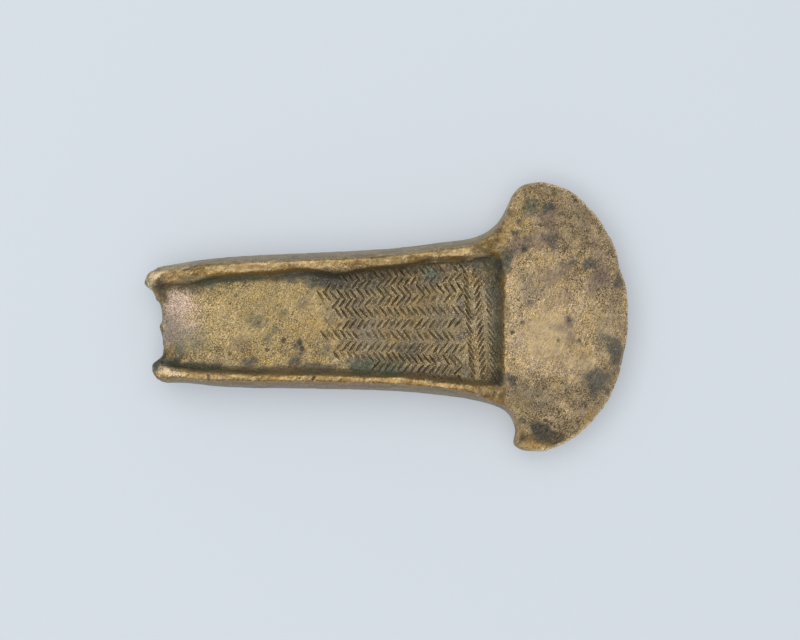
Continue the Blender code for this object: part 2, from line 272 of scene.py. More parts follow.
def dents(plan, places, radius, depth):
    """How deep round pits go at each point of the plan. Each place is x, y and a size."""
    total = np.zeros(len(plan))
    order = np.argsort(plan[:, 0])
    across_x = plan[order, 0]
    for x, y, size in places:
        first, last = np.searchsorted(across_x, np.array([-1, 1]) * radius * size + x)
        near = order[first:last]
        off = np.hypot(plan[near, 0] - x, plan[near, 1] - y) / (radius * size)
        total[near] = np.maximum(total[near], depth * size * np.clip(1 - off ** 2, 0, 1))
    return total


def grooves(plan, lines):
    """How deep narrow cuts go at each point. Each cut has two pixels, a width and a depth."""
    total = np.zeros(len(plan))
    for start_px, end_px, width, depth in lines:
        start, end = np.array(at_pixel(*start_px)), np.array(at_pixel(*end_px))
        along = end - start
        share = np.clip(((plan - start) @ along) / (along @ along), 0, 1)
        off = np.linalg.norm(plan - start - share[:, None] * along, axis=1)
        total = np.maximum(total, depth * np.clip(1 - off / width, 0, 1))
    return total


# ---- the herringbone, stroke for stroke as on the solid

STROKE_PITCH, STROKE_REACH, STROKE_LEAN = 1.68, 2.45, 0.78
COLUMNS, COLUMN_PITCH, COLUMN_REACH, COLUMN_LEAN = 3, 2.7, 2.7, 0.54
COLUMN_TO_STOP, COLUMN_DRIFT = 3.6, -0.07
UNDER_ROWS, UNDER_PITCH, UNDER_REACH, UNDER_START = 5, 3.0, 3.4, 0.37

# How wide, deep and rimmed a stroke is carved
STROKE_HALF_WIDTH, UNDER_HALF_WIDTH = 0.25, 0.34
PUNCH_DEPTH, RIM_HEIGHT = 0.38, 0.15

# In half widths from a stroke's keel: where its floor ends and its slope ends, where the raised
# rim is highest, and how far the rim reaches to each side
SLOPE, RIM_AT, RIM_REACH = (0.3, 1.15), 1.7, 0.7

# The forces that blows are drawn from
BLOWS = (0.25, 0.55, 0.8, 0.9, 1.0, 1.1, 1.2)

# The body's width at shares of its length, and what its sides and crests take from the floor
WIDTH_SHARES, WIDTHS = [0.11, 0.53, 0.93], [31.2, 35.5, 41.8]
SIDE_LEAN, CREST_WIDTH, HALF_WALL_RUN, FLOOR_SHIFT = 2.0, 2.2, 0.8, 0.4


# Rows as shares of half the floor's width, and of the body's length from their start to the stop
ROWS = [
    (0.87, 0.441), (0.72, 0.487), (0.55, 0.509), (0.38, 0.465), (0.18, 0.460), (-0.05, 0.455),
    (-0.26, 0.498), (-0.48, 0.455), (-0.67, 0.463), (-0.84, 0.356), (-0.98, 0.335),
]


def floor_y(x, share):
    """A height on the slot's floor, as a share of the way from its middle to a wall's foot."""
    along = np.clip((x - BODY[0]) / BODY[1], 0, 1)
    width = np.interp(along, WIDTH_SHARES, WIDTHS)
    middle = SLOT_Y + SLOT_DRIFT * along - FLOOR_SHIFT
    return middle + share * (width / 2 - SIDE_LEAN - CREST_WIDTH - HALF_WALL_RUN)


def row_strokes(rows, pitch, reach, end_x, luck):
    """Rows along the axe that fan out with the slot, slanting by turns one way and the other."""
    strokes = []
    shares = np.array([share for share, _ in rows])
    gaps = np.abs(np.gradient(shares)) * (floor_y(0, 1) - floor_y(0, 0))
    for row, (share, to_stop) in enumerate(rows):
        lean = STROKE_LEAN if row % 2 else -STROKE_LEAN
        x = STOP_X - to_stop * BODY[1]
        while x < end_x:
            y = floor_y(x, share) + luck.uniform(-0.06, 0.06) * reach
            half = min(reach, gaps[row]) / 2 * luck.uniform(0.85, 1.05)
            tilt = half * lean * luck.uniform(0.85, 1.15)
            strokes.append(((x - tilt, y - half), (x + tilt, y + half)))
            x += pitch * luck.uniform(0.92, 1.08)
    return strokes


def column_strokes(luck):
    """Columns of steeper strokes across the axe, beside the stop ledge."""
    strokes = []
    for column in range(COLUMNS):
        first_x = STOP_X - COLUMN_TO_STOP - (COLUMNS - 1 - column) * COLUMN_PITCH
        lean = COLUMN_LEAN if column % 2 else -COLUMN_LEAN
        y = floor_y(first_x, -0.92)
        while y < floor_y(first_x, 0.85):
            x = first_x + COLUMN_DRIFT * y
            half = COLUMN_REACH / 2 * luck.uniform(0.85, 1.1)
            strokes.append(((x - half * lean, y - half), (x + half * lean, y + half)))
            y += STROKE_PITCH * luck.uniform(0.95, 1.15)
    return strokes


def stroke_across(points, strokes, half_width, luck):
    """How far across a stroke each point is, 0 on its keel and 1 at its rim, and the blow's force."""
    nearest, force = np.full(len(points), 9.0), np.zeros(len(points))
    order = np.argsort(points[:, 0])
    sorted_x = points[order, 0]
    for start, end in strokes:
        blow = luck.choice(BLOWS)
        start, end = np.array(start), np.array(end)
        length = np.linalg.norm(end - start)
        ahead = (end - start) / length
        first, last = np.searchsorted(sorted_x, np.array([-1, 1]) * length + (start[0] + end[0]) / 2)
        near = order[first:last]
        near = near[np.abs(points[near, 1] - (start[1] + end[1]) / 2) < length]
        offset = points[near] - start
        along = np.clip(offset @ ahead, 0, length)
        taper = 0.55 + 0.45 * np.sqrt(np.clip(4 * along * (length - along), 0, None)) / length
        off = np.linalg.norm(offset - along[:, None] * ahead, axis=1) / (half_width * taper)
        closer = off < nearest[near]
        nearest[near[closer]], force[near[closer]] = off[closer], blow
    return nearest, force


def all_strokes():
    """The strokes of the face that is seen, and those of the underside."""
    luck = random.Random(7)
    end_x = STOP_X - COLUMN_TO_STOP - (COLUMNS - 0.5) * COLUMN_PITCH
    shown = row_strokes(ROWS, STROKE_PITCH, STROKE_REACH, end_x, luck) + column_strokes(luck)
    under_rows = [(1.7 * (i + 0.5) / UNDER_ROWS - 0.85, UNDER_START) for i in range(UNDER_ROWS)]
    return shown, row_strokes(under_rows, UNDER_PITCH, UNDER_REACH, end_x, luck)


# Where the herringbone is worn shallow: pixel, half sizes in pixels, turn and share lost
FADED = [
    ((375, 340), (16, 16), 0, 0.6),
    ((372, 302), (14, 7), 0, 0.35),
    ((420, 345), (18, 7), 0, 0.4),
    ((436, 304), (30, 7), 0, 0.4),
    ((396, 322), (12, 12), 0, 0.3),
    ((430, 274), (30, 9), 0, 0.5),
    ((352, 362), (18, 8), 0, 0.8),
    ((460, 352), (12, 16), 0, 0.4),
    ((455, 268), (22, 8), 0, 0.4),
    ((390, 285), (22, 6), 0, 0.2),
    ((484, 262), (14, 16), 0, 0.9),
    ((494, 320), (4, 60), 0, 0.6),
]

# Pits, as pixels of the photograph with a size
PITS = [
    (283.8, 340.6, 1.6), (266.9, 350, 1.4), (236, 295.6, 1.1), (267.5, 320, 1.0), (258.8, 322.5, 1.0),
    (230, 354, 1.2), (185.6, 293.8, 1.1), (184.4, 330, 1.0), (512.5, 333, 1.2), (534, 205, 1.3),
    (524, 208, 1.2), (537, 200, 1.0), (528, 202, 1.1), (497, 279, 1.7), (541, 427, 1.4), (547, 431, 1.2),
    (570, 321, 1.2), (580.9, 340.7, 1.0), (558.7, 340.7, 1.1), (525.4, 249.3, 1.3), (509, 309, 1.2),
    (591, 265, 1.3), (555, 427, 1.1), (523, 323, 1.4), (519, 300, 1.0), (302, 349, 1.6), (300, 344, 1.2),
]

# Cuts and cracks: from pixel, to pixel, half width and depth in millimetres
CUTS = [
    ((208.3, 373.5), (209, 380.5), 0.35, 0.55),
    ((316.8, 373), (312.5, 381), 0.32, 0.6),
    ((365, 378), (364, 383), 0.25, 0.25),
    ((184, 270.5), (197, 265.5), 0.4, 0.3),
    ((190, 272), (204, 268), 0.3, 0.2),
    ((248, 306), (263, 300), 0.18, 0.08),
    ((250, 309), (270, 303), 0.15, 0.06),
    ((322, 300), (327, 309), 0.2, 0.12),
    ((325, 318), (331, 327), 0.2, 0.12),
    ((536, 419), (522, 411), 0.25, 0.15),
]

# Where the cutting edge is worn back: pixel, reach along it and depth in millimetres
EDGE_WEAR = [
    ((592, 208), 4.0, 0.22),
    ((607, 233), 2.5, 0.18),
    ((619, 268), 3.2, 0.55),
    ((624, 357), 2.6, 0.22),
    ((594, 425), 5.0, 0.42),
    ((568, 441), 5.0, 0.40),
]

# How many small pits lie at random places, where, and their sizes
SCATTERED, PIT_X, PIT_Y, PIT_SIZE = 900, (-56, 58), (-34, 34), (0.35, 1.0)

# The radius and depth of the small pits and of the PITS, at size 1
SMALL_PIT, LARGE_PIT = (0.34, 0.10), (0.45, 0.20)

# How many times each area is smoothed. The ledge is worn away at the upper corner.
ALL_TIMES, CALM_TIMES, CREST_TIMES, CORNER_TIMES, LEDGE_TIMES = 2, 70, 7, 70, 9

# How many blurs the fine and the wide hollows are measured with
FINE_BLURS, WIDE_BLURS = 14, 24

# How far out on the blade's curve the wear begins and is full
WEAR_REACH = (0.93, 0.995)

# The cutting edge's own reach is found in this many sectors, up to this turn to each side
SECTORS, SECTOR_TURN = 120, 1.7

# The rims of a stain and of a softer patch, as shares of the way from its middle
STAIN_RIM, SOFT_RIM = (0.55, 1.4), (0.5, 1.5)

# A stain isn't worked out further from its middle than this many times its larger half size
STAIN_MARGIN = 2.2

# The pale rim along the cutting edge, as shares of the way from the blade's middle
PALE_RIM = (0.972, 0.988)


def soften(skin):
    """Smooth the remeshed solid area by area, and give the punched field finer faces."""
    surface = Surface(skin.data)
    normals = surface.normals()
    zones = Zones(surface.points, normals)
    surface.smooth(np.ones(len(surface.points)), ALL_TIMES)
    calm = zones.blade * ramp(np.abs(normals[:, 2]), 0.8, 0.95)
    surface.smooth(np.maximum(calm, 0.8 * zones.side), CALM_TIMES)
    lift = np.abs(surface.points[:, 2] - MIDDLE_Z)
    surface.smooth((1 - zones.blade) * ramp(lift, 5.0, 6.5), CREST_TIMES)
    x, y = surface.points[:, 0], surface.points[:, 1]
    ledge = zones.top * ramp(x, 24, 27) * (1 - ramp(x, *LEDGE_END_X))
    corner = ramp(y + cloud(surface.points, 4.0, 150), 2, 8)
    surface.smooth(ledge * corner * (1 - ramp(y, 16.5, 18)), CORNER_TIMES)
    surface.smooth(ledge * (1 - corner), LEDGE_TIMES)
    surface.store()
    field = (zones.floor + zones.rise > 0.5) & (zones.top > 0.5)
    refine(skin, field & (surface.points[:, 0] > FINE_FACES_X))


def blade_reach(points):
    """The way out from the blade's middle to each point, and how far along it the point is."""
    out = np.stack([(points[:, 0] - BLADE_MIDDLE_X) / BLADE_HALF[0], points[:, 1] / BLADE_HALF[1]], 1)
    return out, np.linalg.norm(out, axis=1)


def wear_edge(points):
    """Nick and wear the cutting edge back, by the same amount on both faces."""
    out, reach = blade_reach(points)
    near = ramp(reach, *WEAR_REACH) * ramp(points[:, 0], *HORN_X)
    flat = np.column_stack([points[:, :2], np.zeros(len(points))])
    back = 0.10 + 0.12 * cloud(flat, 3.5, 40) + 0.06 * lattice_noise(flat, 0.9, 44)
    for px, width, depth in EDGE_WEAR:
        x, y = at_pixel(*px)
        back += depth * np.exp(-((points[:, 0] - x) ** 2 + (points[:, 1] - y) ** 2) / width ** 2)
    out /= np.maximum(reach, 1e-6)[:, None]
    points[:, :2] -= out * (np.clip(back, 0, 1) * near)[:, None]


def edge_share(points):
    """How far out toward the cutting edge each of the blade's points is, 1 on the edge itself."""
    out, reach = blade_reach(points)
    turns = np.linspace(-SECTOR_TURN, SECTOR_TURN, SECTORS)
    sector = np.digitize(np.arctan2(out[:, 1], out[:, 0]), turns)
    furthest = np.full(SECTORS + 1, 1e-6)
    np.maximum.at(furthest, sector, reach)
    return reach / furthest[sector]


def cast_relief(points, zones):
    """The waves and lumps that casting and corrosion left, as a height at each point."""
    lift = 0.10 * cloud(points, 11.0, 1) + 0.05 * cloud(points, 3.2, 5) * (1 + zones.crest)
    lift += 0.02 * lattice_noise(points, 0.9, 9)
    lift += zones.butt * (0.32 * cloud(points, 2.6, 12) + 0.22 * cloud(points, 1.1, 144) - 0.1)
    ridges = points * [0.6, 1, 1]
    lift += zones.crest * (0.20 * cloud(ridges, 2.4, 16) + 0.06 * cloud(points, 1.0, 140))
    lift += zones.blade * 0.03 * cloud(ridges, 2.2, 20)
    return lift


def strike(points, zones, strokes, under):
    """How far across its nearest stroke each point is, and the force of that stroke's blow."""
    plan = points[:, :2] + 0.13 * np.stack([cloud(points, 1.4, 50), cloud(points, 1.4, 54)], 1)
    across, force = np.full(len(points), 9.0), np.zeros(len(points))
    luck = random.Random(23)
    for marks, half_width, side in (
        (strokes, STROKE_HALF_WIDTH, zones.top > 0.5),
        (under, UNDER_HALF_WIDTH, zones.top <= 0.5),
    ):
        chosen = np.flatnonzero(side & (zones.slot > 0.1))
        across[chosen], force[chosen] = stroke_across(plan[chosen], marks, half_width, luck)
    seen = as_seen(points)
    for pixel, half, turn, lost in FADED:
        reach = reach_of(seen, pixel, half, turn) + 0.2 * cloud(points, 2.0, 59)
        force *= 1 - lost * zones.top * (1 - ramp(reach, *SOFT_RIM))
    force *= np.clip(0.85 + 0.45 * cloud(points, 2.6, 58), 0, 1.3)
    return across, force


def carve(surface, strokes, under, box):
    """Give the plain solid a hand-cast, worn surface, and return how far each point is punched in.
    The surface stays in the box, which is in metres."""
    zones = Zones(surface.points, surface.normals())
    surface.smooth(zones.floor, 3)
    normals = surface.normals()
    points = surface.points.copy()
    lift = cast_relief(points, zones)
    across, force = strike(points, zones, strokes, under)
    punch = zones.slot * (1 - ramp(across, *SLOPE)) * force
    raised = np.clip(1 - np.abs(across - RIM_AT) / RIM_REACH, 0, 1) * force
    lift += zones.slot * RIM_HEIGHT * raised - PUNCH_DEPTH * punch
    worked = zones.slot * zones.top * ramp(points[:, 0], *FIELD_X)
    lift += worked * (0.09 * cloud(points, 1.0, 130) + 0.05 * cloud(points, 3.0, 134))
    lift += worked * 0.04 * lattice_noise(points, 0.55, 138)
    luck = random.Random(11)
    scattered = [
        (luck.uniform(*PIT_X), luck.uniform(*PIT_Y), luck.uniform(*PIT_SIZE) ** 1.5 + 0.25)
        for _ in range(SCATTERED)
    ]
    named = [(*at_pixel(px, py), size) for px, py, size in PITS]
    seen = as_seen(points)
    shown = zones.top * ramp(np.abs(normals[:, 2]), 0.5, 0.8)
    lift -= shown * dents(seen, scattered, *SMALL_PIT)
    lift -= shown * dents(seen, named, *LARGE_PIT)
    lift -= shown * grooves(seen, CUTS)
    surface.points = points + normals * lift[:, None]
    wear_edge(surface.points)
    low, high = (np.array(corner) / MM for corner in box)
    surface.points = np.clip(surface.points, low, high)
    surface.store()
    return np.clip(punch, 0, 1)


# ---- the patina and wear, with painted shade and highlights, painted on the skin's points


def srgb(red, green, blue):
    """A screen colour from 0 to 255 as linear light."""
    share = np.array([red, green, blue]) / 255
    return np.where(share > 0.04045, ((share + 0.055) / 1.055) ** 2.4, share / 12.92)


SLATE = srgb(74, 74, 68)
BLACK = srgb(56, 56, 48)
PURPLE = srgb(112, 94, 84)
GREEN = srgb(78, 86, 68)
TEAL = srgb(72, 98, 86)
OCHRE = srgb(176, 144, 82)
PINK = srgb(204, 178, 160)
PALE = srgb(196, 172, 128)
GREY = srgb(132, 124, 110)
WARM_GREY = srgb(150, 136, 110)
BROWN = srgb(98, 82, 56)
DARK_BROWN = srgb(72, 58, 38)
DARK_OCHRE = srgb(120, 92, 38)
CREAM = srgb(222, 198, 158)
LILAC = srgb(160, 146, 140)
GREEN_GREY = srgb(96, 98, 80)
GREEN_BLACK = srgb(60, 66, 50)

# The bare bronze by area. The punched field and the crests have several hues. A crest's darker hue is
# painted shade on its side that faces -Y, and the walls' two colours are painted paler than their bronze
# against the shade on them.
FLOOR_BRONZE = srgb(143, 125, 86)
BLADE_BRONZE = srgb(186, 163, 126)
# painted light: the walls' two colours are paler than their bronze, against the shade on them
WALL_BRONZE_PAINTED_LIT = srgb(168, 156, 120)
WALL_TOP_PAINTED_LIT = srgb(172, 130, 46)
FIELD_BRONZE = srgb(142, 128, 98)
FIELD_WARM = srgb(148, 124, 84)
FIELD_COOL = srgb(118, 108, 96)
FIELD_GREEN = srgb(96, 100, 78)
CREST_BRONZE = srgb(130, 108, 68)
CREST_PAINTED_SHADE = srgb(138, 100, 28)


# Patina, bare patches and painted highlights: pixel, half sizes in pixels, turn in degrees, colour and
# strength
STAINS = [
    # blade, bare and warm ground first
    ((545, 336), (24, 20), 20, PALE, 0.45),
    ((581, 361), (16, 11), 0, PALE, 0.35),
    ((575, 318), (18, 9), 0, PALE, 0.25),
    ((516, 300), (7, 36), -12, PALE, 0.35),
    ((536, 446), (16, 4), 4, OCHRE, 0.95),
    ((576, 437), (32, 4), 32, OCHRE, 0.75),
    ((589, 418), (9, 4), 40, OCHRE, 0.75),
    ((517, 430), (5, 12), 0, DARK_OCHRE, 0.6),
    ((527, 438), (9, 5), 0, DARK_OCHRE, 0.75),
    ((518, 404), (10, 7), -25, OCHRE, 0.50),
    ((512, 222), (6, 20), -25, OCHRE, 0.40),
    ((524, 228), (8, 8), 0, OCHRE, 0.35),
    ((553, 268), (9, 14), 0, PALE, 0.30),
    # blade, brown clouds
    ((547, 219), (11, 9), 0, PURPLE, 0.60),
    ((551, 236), (9, 15), 0, PURPLE, 0.55),
    ((536, 240), (12, 10), 0, PURPLE, 0.45),
    ((520, 247), (13, 9), 0, PURPLE, 0.55),
    ((548, 200), (24, 12), 10, BROWN, 0.15),
    ((572, 232), (20, 26), 15, BROWN, 0.22),
    ((600, 262), (7, 26), 18, PURPLE, 0.35),
    ((585, 215), (14, 5), -45, BROWN, 0.35),
    ((563, 285), (12, 10), 0, OCHRE, 0.22),
    ((545, 262), (10, 8), 0, OCHRE, 0.25),
    ((590, 320), (16, 14), 0, OCHRE, 0.18),
    ((580, 352), (14, 10), 0, OCHRE, 0.30),
    ((560, 300), (18, 8), 30, PURPLE, 0.20),
    ((528, 290), (10, 18), 0, GREY, 0.35),
    ((530, 400), (26, 14), 0, GREY, 0.25),
    ((606, 330), (10, 24), 0, GREY, 0.30),
    ((557, 273), (15, 9), 30, PURPLE, 0.45),
    ((600, 281), (10, 9), 0, PURPLE, 0.60),
    ((591, 292), (5, 6), 0, PURPLE, 0.50),
    ((615, 296), (5, 16), 0, PURPLE, 0.35),
    ((540, 280), (10, 14), 0, PURPLE, 0.30),
    ((559, 327), (11, 6), 0, PURPLE, 0.45),
    ((570, 321), (5, 7), 20, PURPLE, 0.85),
    ((571, 338), (7, 7), 0, PURPLE, 0.40),
    ((584, 356), (4, 4), 0, PURPLE, 0.45),
    ((556, 437), (13, 5.5), -28, DARK_BROWN, 0.90),
    ((545, 440), (14, 5), -10, DARK_BROWN, 0.70),
    ((585, 402), (24, 14), -40, BROWN, 0.22),
    ((540, 395), (28, 16), 0, BROWN, 0.22),
    ((516, 385), (12, 12), 0, BROWN, 0.20),
    # blade, dark spots
    ((531, 206), (9, 8), 0, GREEN, 0.70),
    ((550, 206.5), (6, 5.5), 0, SLATE, 1.00),
    ((555, 194), (5, 4), 0, SLATE, 0.55),
    ((518, 221.5), (3.5, 3), 0, SLATE, 0.75),
    ((515.7, 232), (5, 2.5), -15, SLATE, 0.80),
    ((510, 212), (3.5, 3.5), 0, BROWN, 0.60),
    ((525.4, 249.3), (5, 6), 0, BLACK, 0.95),
    ((551, 243), (6, 8), 0, SLATE, 0.50),
    ((561.4, 214.3), (3, 2.5), 30, SLATE, 0.70),
    ((578.6, 217.4), (3.5, 2.5), -20, SLATE, 0.65),
    ((590, 265), (7, 6), 0, SLATE, 0.85),
    ((573, 264), (5, 4), 0, SLATE, 0.45),
    ((618.6, 281), (3, 10), 12, SLATE, 0.75),
    ((611, 247), (2, 7), 22, BROWN, 0.70),
    ((590.5, 211), (2.5, 5), 35, BROWN, 0.60),
    ((509, 264), (4, 8), 0, GREEN, 0.55),
    ((615, 351.5), (7.5, 14), 8, SLATE, 0.80),
    ((606.6, 338), (4, 3.5), 0, SLATE, 0.55),
    ((617.3, 318.6), (4, 4), 0, SLATE, 0.40),
    ((596, 380), (12, 15), 10, SLATE, 0.78),
    ((609, 377), (6, 6), 0, SLATE, 0.60),
    ((594, 394), (5, 5), 0, SLATE, 0.50),
    ((608, 393), (3, 7), 35, BLACK, 0.65),
    ((512.3, 379.3), (4.5, 5.5), 0, SLATE, 0.95),
    ((541, 429.5), (11, 8), -20, BLACK, 1.00),
    ((531, 433), (1.4, 7), 42, PALE, 0.7),
    ((520, 440), (5, 3), 30, DARK_BROWN, 0.8),
    ((521.6, 420), (5, 5), -30, GREEN, 0.85),
    ((519.4, 441), (5, 3), 0, BROWN, 0.65),
    ((580.9, 340.7), (3, 2.5), 0, SLATE, 0.60),
    ((558.7, 340.7), (2, 2), 0, SLATE, 0.55),
    ((512, 332), (2.5, 2.5), 0, BLACK, 0.70),
    ((506, 311), (3, 12), 5, BROWN, 0.40),
    ((524, 323), (3.5, 3.5), 0, SLATE, 0.55),
    ((532, 304), (6, 4), 0, PURPLE, 0.45),
    # slot floor, butt half
    ((210, 325), (34, 24), 0, PALE, 0.22),
    ((309, 325), (14, 16), 0, OCHRE, 0.25),
    ((176, 303), (12, 15), -20, PINK, 0.65),
    ((190, 310), (14, 22), 0, PINK, 0.22),
    ((192, 334), (12, 14), 0, LILAC, 0.22),
    ((176, 332), (13, 18), 0, GREY, 0.65),
    ((166, 330), (5, 18), 0, LILAC, 0.65),
    ((169, 330), (4, 16), 0, PURPLE, 0.45),
    ((180, 315), (12, 24), 0, PINK, 0.25),
    ((163, 291), (5, 13), 20, DARK_BROWN, 0.75),
    ((159, 281), (6, 5), 0, DARK_BROWN, 0.70),
    # cream streaks on the flanges' tips: painted highlights
    ((150, 285), (3, 9), -20, CREAM, 0.60),
    ((160, 272), (14, 3.5), 28, CREAM, 0.80),
    ((180, 266), (12, 3), 8, CREAM, 0.50),
    ((166, 371), (9, 4), -10, CREAM, 0.85),
    ((176, 373), (12, 3), -6, CREAM, 0.75),
    ((157, 363), (10, 4), 48, BLACK, 0.95),
    ((188, 269), (9, 2), 20, DARK_BROWN, 0.75),
    ((201, 266), (7, 1.6), 12, DARK_BROWN, 0.60),
    ((172, 282), (12, 3), 5, BROWN, 0.55),
    ((205, 280), (26, 5), 3, GREEN, 0.70),
    ((198, 288), (24, 5), 0, GREEN, 0.25),
    ((245, 279), (20, 3.5), 3, GREEN, 0.65),
    ((287, 278), (14, 4.5), 3, SLATE, 0.65),
    ((316, 277), (18, 8), 0, SLATE, 0.62),
    ((303, 304), (6, 5), 0, SLATE, 0.40),
    ((284, 313), (9, 2.5), 35, SLATE, 0.45),
    ((256, 321), (11, 8), 0, GREEN, 0.40),
    ((275, 330), (5, 4), 0, GREEN, 0.45),
    ((268, 338), (4, 5), 0, SLATE, 0.35),
    ((241, 345), (10, 8), 0, PURPLE, 0.35),
    ((195, 341), (16, 12), 0, GREEN, 0.25),
    ((185, 352), (10, 8), 0, GREEN, 0.30),
    ((299, 345), (3, 6), 10, BLACK, 0.95),
    ((302.5, 352), (2.5, 4), 0, BLACK, 0.85),
    ((325, 350), (7, 6), 0, SLATE, 0.40),
    ((249, 362), (8, 5), 0, SLATE, 0.70),
    ((296, 361), (8, 6), 0, SLATE, 0.65),
    ((315, 367), (20, 4.5), 0, SLATE, 0.65),
    ((196, 366), (32, 4.2), -4, GREEN_BLACK, 0.90),
    ((174, 364), (9, 6), 0, GREEN_BLACK, 0.95),
    ((250, 371), (20, 2.5), -2, BLACK, 0.55),
    ((300, 369), (36, 3), 0, BROWN, 0.40),
    # punched floor
    ((400, 318), (70, 54), 0, BROWN, 0.30),
    ((345, 300), (20, 20), 0, SLATE, 0.10),
    ((355, 283), (34, 9), -3, SLATE, 0.55),
    ((345, 277), (24, 6), 8, SLATE, 0.55),
    ((395, 272), (60, 8), 4, DARK_BROWN, 0.45),
    ((335, 281), (20, 9), 0, BLACK, 0.48),
    ((330, 275), (14, 6), 0, BLACK, 0.50),
    ((375, 365), (30, 8), 0, GREEN, 0.75),
    ((394, 371), (14, 4), 0, TEAL, 0.85),
    ((362, 368), (16, 5), 8, GREEN, 0.50),
    ((430, 274), (9, 6), 0, TEAL, 0.60),
    ((425, 284), (12, 8), 0, SLATE, 0.30),
    ((420, 371), (40, 5), 3, SLATE, 0.42),
    ((373, 335), (12, 18), 0, GREY, 0.35),
    ((445, 330), (18, 30), 0, GREY, 0.15),
    ((455, 372), (30, 8), 3, SLATE, 0.35),
    ((408, 350), (10, 6), 0, SLATE, 0.45),
    # rise to the stop ledge
    ((486, 260), (15, 11), -10, GREEN_BLACK, 0.40),
    ((491, 280), (11, 23), 8, GREEN_BLACK, 0.40),
    ((494, 298), (8, 11), 8, SLATE, 0.50),
    ((508, 253), (9, 6), -10, GREEN_BLACK, 0.52),
    ((504, 266), (7, 12), 15, GREEN_BLACK, 0.48),
    ((496, 320), (6, 24), -3, GREEN_BLACK, 0.30),
    ((498, 345), (6, 30), -3, GREEN_BLACK, 0.35),
    ((490, 345), (10, 30), 0, GREEN_GREY, 0.40),
    ((485, 310), (14, 30), 0, GREY, 0.25),
    ((480, 335), (12, 44), 0, PALE, 0.18),
    ((440, 368), (50, 8), 2, PALE, 0.14),
    ((499, 379), (9, 8), 0, BLACK, 0.85),
    ((497, 279), (3, 3), 0, BLACK, 0.80),
    ((500, 264), (4, 6), 0, BLACK, 0.75),
    ((475, 262), (18, 6), 0, SLATE, 0.35),
    ((509, 262), (5, 6), 0, SLATE, 0.60),
    # flanges: dark nicks, and cream streaks along the crests that are painted highlights
    ((208.5, 377), (1.2, 4), 0, BLACK, 0.90),
    ((314.5, 377), (1.2, 5), -28, BLACK, 0.90),
    ((475, 256), (12, 3), 5, CREAM, 0.60),
    ((440, 258), (10, 2.5), 5, CREAM, 0.50),
    ((265, 263), (10, 2), 10, CREAM, 0.60),
]


def stain_paint(points, zones):
    """Colour and amount of patina at each point, with the crests' painted highlights and the sides' grey
    that is partly a painted reflection.
    """
    count = len(points)
    colour, amount = np.zeros((count, 3)), np.zeros(count)

    def lay(new_colour, share):
        nonlocal colour, amount
        total = share + amount * (1 - share)
        mix = (share / np.maximum(total, 1e-6))[:, None]
        colour = colour * (1 - mix) + new_colour * mix
        amount = total

    rough = cloud(points, 2.4, 60)
    fine = cloud(points, 0.9, 66)
    far = cloud(points, 9.0, 70)
    under = 1 - zones.top
    # the sides' grey: patina, and partly a painted reflection of the pale room; the side at -Y made more
    # purple
    lay(WARM_GREY, zones.side * np.clip(0.55 + 0.2 * rough, 0, 1))
    lay(PURPLE, zones.side * (points[:, 1] < 0) * 0.35)
    long = cloud(points * [0.35, 1, 1.6], 1.6, 98)
    lay(PURPLE, zones.side * ramp(long + 0.3 * fine, 0.1, 0.7) * 0.7)
    lay(SLATE, zones.side * ramp(rough + 0.6 * fine, 0.45, 0.9) * 0.6)
    lay(BROWN, zones.butt * zones.side * 0.4)
    lay(SLATE, under * ramp(far + 0.5 * rough, 0.15, 0.7) * 0.7)
    lay(PURPLE, under * ramp(cloud(points, 7.0, 80) + 0.4 * rough, 0.3, 0.8) * 0.6)
    lay(GREEN, under * zones.floor * ramp(cloud(points, 5.0, 84), 0.1, 0.6) * 0.6)
    seen = zones.top * (1 - 0.6 * zones.side)
    shift = np.stack([cloud(points, 1.8, 90), cloud(points, 1.8, 94)], 1) * 0.75
    plan = as_seen(points) + shift
    for pixel, half, turn, stain, strength in STAINS:
        near = np.abs(plan - at_pixel(*pixel)).max(1) < max(half) * PIXEL * STAIN_MARGIN
        reach = reach_of(plan[near], pixel, half, turn) + 0.28 * rough[near] + 0.22 * fine[near]
        share = np.zeros(count)
        share[near] = strength * (1 - ramp(reach, *STAIN_RIM)) * seen[near]
        lay(stain, share)
    rim = ramp(edge_share(points), *PALE_RIM) * ramp(points[:, 0], *HORN_X)
    lay(CREAM, 0.85 * rim * zones.top * np.clip(0.7 + 0.7 * rough, 0, 1))
    return colour, np.clip(amount, 0, 1)


def toward(colour, other, share):
    """A colour moved toward another by each point's share."""
    return colour * (1 - share[:, None]) + other * share[:, None]


